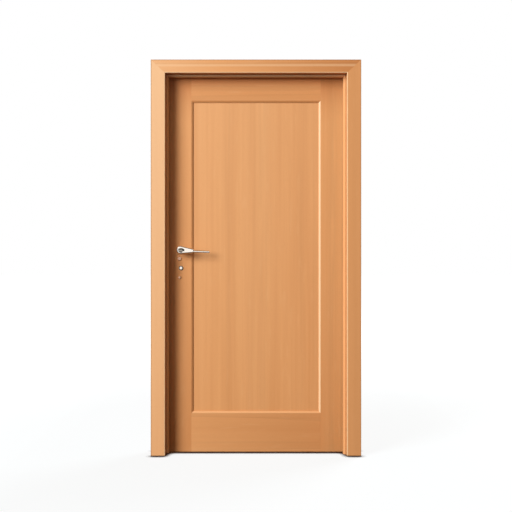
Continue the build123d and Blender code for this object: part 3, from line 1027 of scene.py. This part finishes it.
class DOOR_OT_fittings(bpy.types.Operator):
    """Finish the levers, roses and cylinders in chrome and nickel, and the rest in satin steel."""

    bl_idname = "door.fittings"
    bl_label = "Fittings"

    def execute(self, context):
        settings = context.scene.door_metal
        group = shared_group("metal_handling", handling_group)
        chrome = chrome_material("polished_chrome", group, settings)
        steel = metal_material(
            "satin_steel", group, settings.steel, settings.steel_roughness, STEEL_SMEAR
        )
        for name in named("rose"):
            dress(name, chrome)
        for name in named("lever"):
            dress(name, lever_material(name, group, settings))
        for name in named("lock_cylinder"):
            dress(name, cylinder_material(name, group, settings))
        names = named("hinge_jamb_flap", "hinge_leaf_flap", "hinge_pin", "mortise_lock", "latch_bolt")
        for name in names + named("dead_bolt", "strike_plate", "spindle"):
            dress(name, steel)
        return {"FINISHED"}


def loop_of(bm, verts):
    """The edges that run between some vertices."""
    return [edge for edge in bm.edges if all(vertex in verts for vertex in edge.verts)]


def sink_loop(bm, edges, depth, taper):
    """Extrudes a loop of edges down, narrows it and closes it with a face."""
    moved = bmesh.ops.extrude_edge_only(bm, edges=edges)["geom"]
    verts = [item for item in moved if isinstance(item, bmesh.types.BMVert)]
    bmesh.ops.scale(bm, verts=verts, vec=(taper, taper, 1.0))
    bmesh.ops.translate(bm, verts=verts, vec=(0.0, 0.0, -depth))
    bmesh.ops.edgeloop_fill(bm, edges=loop_of(bm, verts))


def screw_mesh(settings):
    """A countersunk head with a cross recess. Its face looks along +Z from the origin."""
    bm = bmesh.new()
    rim = bmesh.ops.create_circle(
        bm, segments=HEAD_CORNERS, radius=settings.head_radius
    )["verts"]
    cross = bmesh.ops.create_circle(
        bm, segments=RECESS_CORNERS, radius=settings.recess_radius
    )["verts"]
    half_step = math.pi / RECESS_CORNERS
    bmesh.ops.rotate(bm, verts=cross, matrix=Matrix.Rotation(half_step, 3, "Z"))
    between_arms = cross[1 :: RECESS_CORNERS // 4]
    bmesh.ops.scale(bm, verts=between_arms, vec=(RECESS_WAIST, RECESS_WAIST, 1.0))
    bmesh.ops.bridge_loops(bm, edges=loop_of(bm, rim) + loop_of(bm, cross))
    sink_loop(bm, loop_of(bm, cross), settings.recess_depth, RECESS_TAPER)
    sink_loop(bm, loop_of(bm, rim), settings.head_depth, HEAD_TAPER)
    bmesh.ops.recalc_face_normals(bm, faces=bm.faces)
    mesh = bpy.data.meshes.new("screw_head")
    bm.to_mesh(mesh)
    bm.free()
    return mesh


def scatter_screws(name, places, settings, body):
    """One object of like screws. Each place is its centre, the way it faces and its turn."""
    template = screw_mesh(settings)
    bm = bmesh.new()
    for centre, facing, turn in places:
        before = len(bm.verts)
        bm.from_mesh(template)
        bm.verts.ensure_lookup_table()
        added = bm.verts[before:]
        rotation = facing.to_track_quat("Z", "Y").to_matrix().to_4x4()
        spun = rotation @ Matrix.Rotation(turn, 4, "Z")
        bmesh.ops.transform(bm, matrix=Matrix.Translation(centre) @ spun, verts=added)
    mesh = bpy.data.meshes.new(name)
    bm.to_mesh(mesh)
    bm.free()
    bpy.data.meshes.remove(template)
    piece = bpy.data.objects.new(name, mesh)
    bpy.context.scene.collection.objects.link(piece)
    piece.data.materials.append(bpy.data.materials["satin_steel"])
    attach(piece, body)


class DOOR_OT_hinge_screws(bpy.types.Operator):
    """Add the countersunk screws of the six hinge flaps."""

    bl_idname = "door.hinge_screws"
    bl_label = "Hinge Screws"

    def execute(self, context):
        settings = context.scene.door_screw
        stile_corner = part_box("hinge_stile")[1]
        jamb_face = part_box("hinge_jamb")[0].x - SCREW_PROUD
        stile_face = stile_corner.x + SCREW_PROUD
        for side, body, face_x, facing in (
            ("jamb", "frame", jamb_face, TO_LOCK_SIDE),
            ("leaf", "leaf", stile_face, TO_HINGE_SIDE),
        ):
            places = []
            for place in HINGE_PLACES:
                low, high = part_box(f"hinge_{side}_flap_{place}")
                middle_y = (low.y + stile_corner.y) / 2
                pitch = (high.z - low.z) / (SCREWS_PER_FLAP + 1)
                for row in range(SCREWS_PER_FLAP):
                    outermost = row in (0, SCREWS_PER_FLAP - 1)
                    column = settings.hinge_column / 2 * (1 if outermost else -1)
                    centre = Vector((face_x, middle_y + column, low.z + pitch * (row + 1)))
                    places.append((centre, facing, FLAP_SCREW_TURN * row + low.z))
            scatter_screws(f"hinge_{side}_screws", places, settings, body)
        return {"FINISHED"}


class DOOR_OT_lock_screws(bpy.types.Operator):
    """Add the screws of the lock's forend and of the strike plate."""

    bl_idname = "door.lock_screws"
    bl_label = "Lock Screws"

    def execute(self, context):
        settings = context.scene.door_screw
        panel_low, panel_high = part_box("panel")
        middle_y = (panel_low.y + panel_high.y) / 2
        forend_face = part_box("mortise_lock")[0].x - SCREW_PROUD
        strike_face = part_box("strike_plate")[1].x + SCREW_PROUD
        for name, node, body, face_x, facing, inset in (
            ("forend_screws", "mortise_lock", "leaf", forend_face, TO_LOCK_SIDE, FOREND_INSET),
            ("strike_screws", "strike_plate", "frame", strike_face, TO_HINGE_SIDE, STRIKE_INSET),
        ):
            low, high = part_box(node)
            places = [
                (Vector((face_x, middle_y, z)), facing, z * LOCK_SCREW_TURN)
                for z in (low.z + inset, high.z - inset)
            ]
            scatter_screws(name, places, settings, body)
        return {"FINISHED"}


def add_lamp(name, azimuth, elevation, distance, size, power):
    """An oval area lamp that looks at the door's middle. Azimuth 0 is the camera's side."""
    middle = (CAD_LOW + CAD_HIGH) / 2
    away = Vector(
        (
            -math.sin(azimuth) * math.cos(elevation),
            -math.cos(azimuth) * math.cos(elevation),
            math.sin(elevation),
        )
    )
    lamp = bpy.data.lights.new(name, "AREA")
    lamp.shape = "ELLIPSE"
    lamp.size, lamp.size_y = size
    lamp.energy = power
    holder = bpy.data.objects.new(name, lamp)
    holder.location = middle + away * distance
    holder.rotation_euler = away.to_track_quat("Z", "Y").to_euler()
    bpy.context.scene.collection.objects.link(holder)


def stage_sheet(name, size, material):
    """A flat square of the stage, lying at the origin."""
    bm = bmesh.new()
    bmesh.ops.create_grid(bm, x_segments=1, y_segments=1, size=size / 2)
    mesh = bpy.data.meshes.new(name)
    bm.to_mesh(mesh)
    bm.free()
    mesh.materials.append(material)
    sheet = bpy.data.objects.new(name, mesh)
    bpy.context.scene.collection.objects.link(sheet)
    return sheet


def seen_ray(tree):
    """1 where the camera looks, straight or by way of a shiny or clear surface."""
    path = tree.nodes.new("ShaderNodeLightPath").outputs
    mirrored = combine(tree, "MAXIMUM", path["Is Glossy Ray"], path["Is Transmission Ray"])
    return combine(tree, "MAXIMUM", path["Is Camera Ray"], mirrored)


def floor_material(settings):
    """White floor that glows where the camera or a shiny surface looks, with a painted contact shade
    from ambient occlusion, its own soft shadow, and a fade to white at a distance.
    """
    material, tree, shader, place = new_material("floor_paint")
    shader.inputs["Roughness"].default_value = 0.9
    shader.inputs["Specular IOR Level"].default_value = 0.1
    far = add_node(
        tree,
        "ShaderNodeMapRange",
        {
            "Value": length_of(tree, place),
            "From Min": settings.fade_start,
            "From Max": settings.fade_end,
            "To Min": settings.floor_glow,
            "To Max": 1.0,
        },
    ).outputs[0]
    # Painted contact shade: the floor's paint and glow darken towards the contact shade colour where
    # ambient occlusion finds the door close by.
    contact = add_node(
        tree, "ShaderNodeAmbientOcclusion", {"Distance": settings.contact_reach}, samples=8
    ).outputs["AO"]
    seen = seen_ray(tree)
    clear_of_contact_shade = spread(tree, contact, settings.contact_start, 1.0)
    colour = blend_colours(tree, clear_of_contact_shade, opaque(settings.contact_shade_colour), WHITE)
    paint = blend_colours(tree, 1.0, opaque(settings.floor_colour), colour, "MULTIPLY")
    tree.links.new(paint, shader.inputs["Base Color"])
    strength = combine(tree, "MULTIPLY", far, seen)
    glow = add_node(tree, "ShaderNodeEmission", {"Color": colour, "Strength": strength})
    both = add_node(tree, "ShaderNodeAddShader", {0: shader.outputs[0], 1: glow.outputs[0]})
    tree.links.new(both.outputs[0], tree.nodes["Material Output"].inputs["Surface"])
    return material


def stage_flags(settings):
    """Dark flags round the door, which only shiny surfaces see."""
    material, _, shader, _ = new_material("black_felt")
    shader.inputs["Base Color"].default_value = (0.02, 0.02, 0.02, 1.0)
    shader.inputs["Roughness"].default_value = 1.0
    shader.inputs["Specular IOR Level"].default_value = 0.0
    middle = (CAD_LOW + CAD_HIGH) / 2
    aside = settings.flag_distance
    for name, place, turn in (
        ("flag_left", Vector((-aside, 0.0, 0.0)), math.radians(90.0)),
        ("flag_right", Vector((aside, 0.0, 0.0)), math.radians(90.0)),
        ("flag_above", Vector((0.0, 0.0, FLAG_RISE * aside)), 0.0),
        ("flag_below", Vector((0.0, 0.0, -FLAG_DROP * aside)), 0.0),
    ):
        flag = stage_sheet(name, 1.0, material)
        flag.location = middle + place
        flag.rotation_euler = (0.0, turn, 0.0)
        flag.scale = (settings.flag_width, settings.flag_length, 1.0)
        flag.visible_camera = False
        flag.visible_diffuse = False
        flag.visible_shadow = False


def stage_world(settings):
    """White where the camera or a shiny surface looks, and a low even light for the rest."""
    world = bpy.data.worlds.new("studio")
    bpy.context.scene.world = world
    world.use_nodes = True
    tree = world.node_tree
    shown = seen_ray(tree)
    strength = add_node(
        tree,
        "ShaderNodeMapRange",
        {"Value": shown, "To Min": settings.ambient, "To Max": 1.0},
    ).outputs[0]
    background = tree.nodes["Background"]
    colour = blend_colours(tree, shown, opaque(settings.ambient_colour), WHITE)
    tree.links.new(colour, background.inputs["Color"])
    tree.links.new(strength, background.inputs["Strength"])


class DOOR_OT_stage(bpy.types.Operator):
    """Set up the camera, the lamps, the floor and the white surroundings."""

    bl_idname = "door.stage"
    bl_label = "Stage"

    def execute(self, context):
        settings = context.scene.door_stage
        scene = context.scene
        camera_data = bpy.data.cameras.new("camera")
        camera_data.lens = settings.lens
        camera = bpy.data.objects.new("camera", camera_data)
        camera.location = (
            (CAD_LOW.x + CAD_HIGH.x) / 2,
            CAD_LOW.y - settings.camera_distance,
            settings.camera_height,
        )
        camera.rotation_euler = (math.radians(90.0), 0.0, 0.0)
        scene.collection.objects.link(camera)
        scene.camera = camera

        add_lamp(
            "key",
            settings.key_azimuth,
            settings.key_elevation,
            settings.key_distance,
            (settings.key_width, settings.key_height),
            settings.key_power,
        )
        add_lamp(
            "back",
            settings.key_azimuth + math.radians(180.0),
            settings.key_elevation,
            settings.key_distance,
            (settings.key_height, settings.key_height),
            settings.back_power,
        )
        stage_sheet("floor", FLOOR_SIZE, floor_material(settings))
        stage_flags(settings)
        stage_world(settings)
        scene.view_settings.view_transform = "Standard"
        return {"FINISHED"}


class DOOR_PT_finish(bpy.types.Panel):
    """Lists the door's finishing steps in the sidebar."""

    bl_label = "Interior Door"
    bl_space_type = "VIEW_3D"
    bl_region_type = "UI"
    bl_category = "Door"

    def draw(self, context):
        for operator in OPERATORS:
            self.layout.operator(operator.bl_idname)


SETTINGS = {
    "door_timber": DoorTimberSettings,
    "door_metal": DoorMetalSettings,
    "door_screw": DoorScrewSettings,
    "door_stage": DoorStageSettings,
}
OPERATORS = (
    DOOR_OT_frame_timber,
    DOOR_OT_leaf_timber,
    DOOR_OT_panel_veneer,
    DOOR_OT_fittings,
    DOOR_OT_hinge_screws,
    DOOR_OT_lock_screws,
    DOOR_OT_stage,
)


def register():
    """Registers the settings, operators and panel."""
    for name, settings in SETTINGS.items():
        bpy.utils.register_class(settings)
        setattr(bpy.types.Scene, name, bpy.props.PointerProperty(type=settings))
    for operator in OPERATORS:
        bpy.utils.register_class(operator)
    bpy.utils.register_class(DOOR_PT_finish)


def unregister():
    """Removes the panel, operators and settings."""
    bpy.utils.unregister_class(DOOR_PT_finish)
    for operator in reversed(OPERATORS):
        bpy.utils.unregister_class(operator)
    for name, settings in SETTINGS.items():
        delattr(bpy.types.Scene, name)
        bpy.utils.unregister_class(settings)


def main():
    """Finishes the whole door."""
    register()
    for operator in OPERATORS:
        group, name = operator.bl_idname.split(".")
        getattr(getattr(bpy.ops, group), name)()


if __name__ == "__main__":
    main()
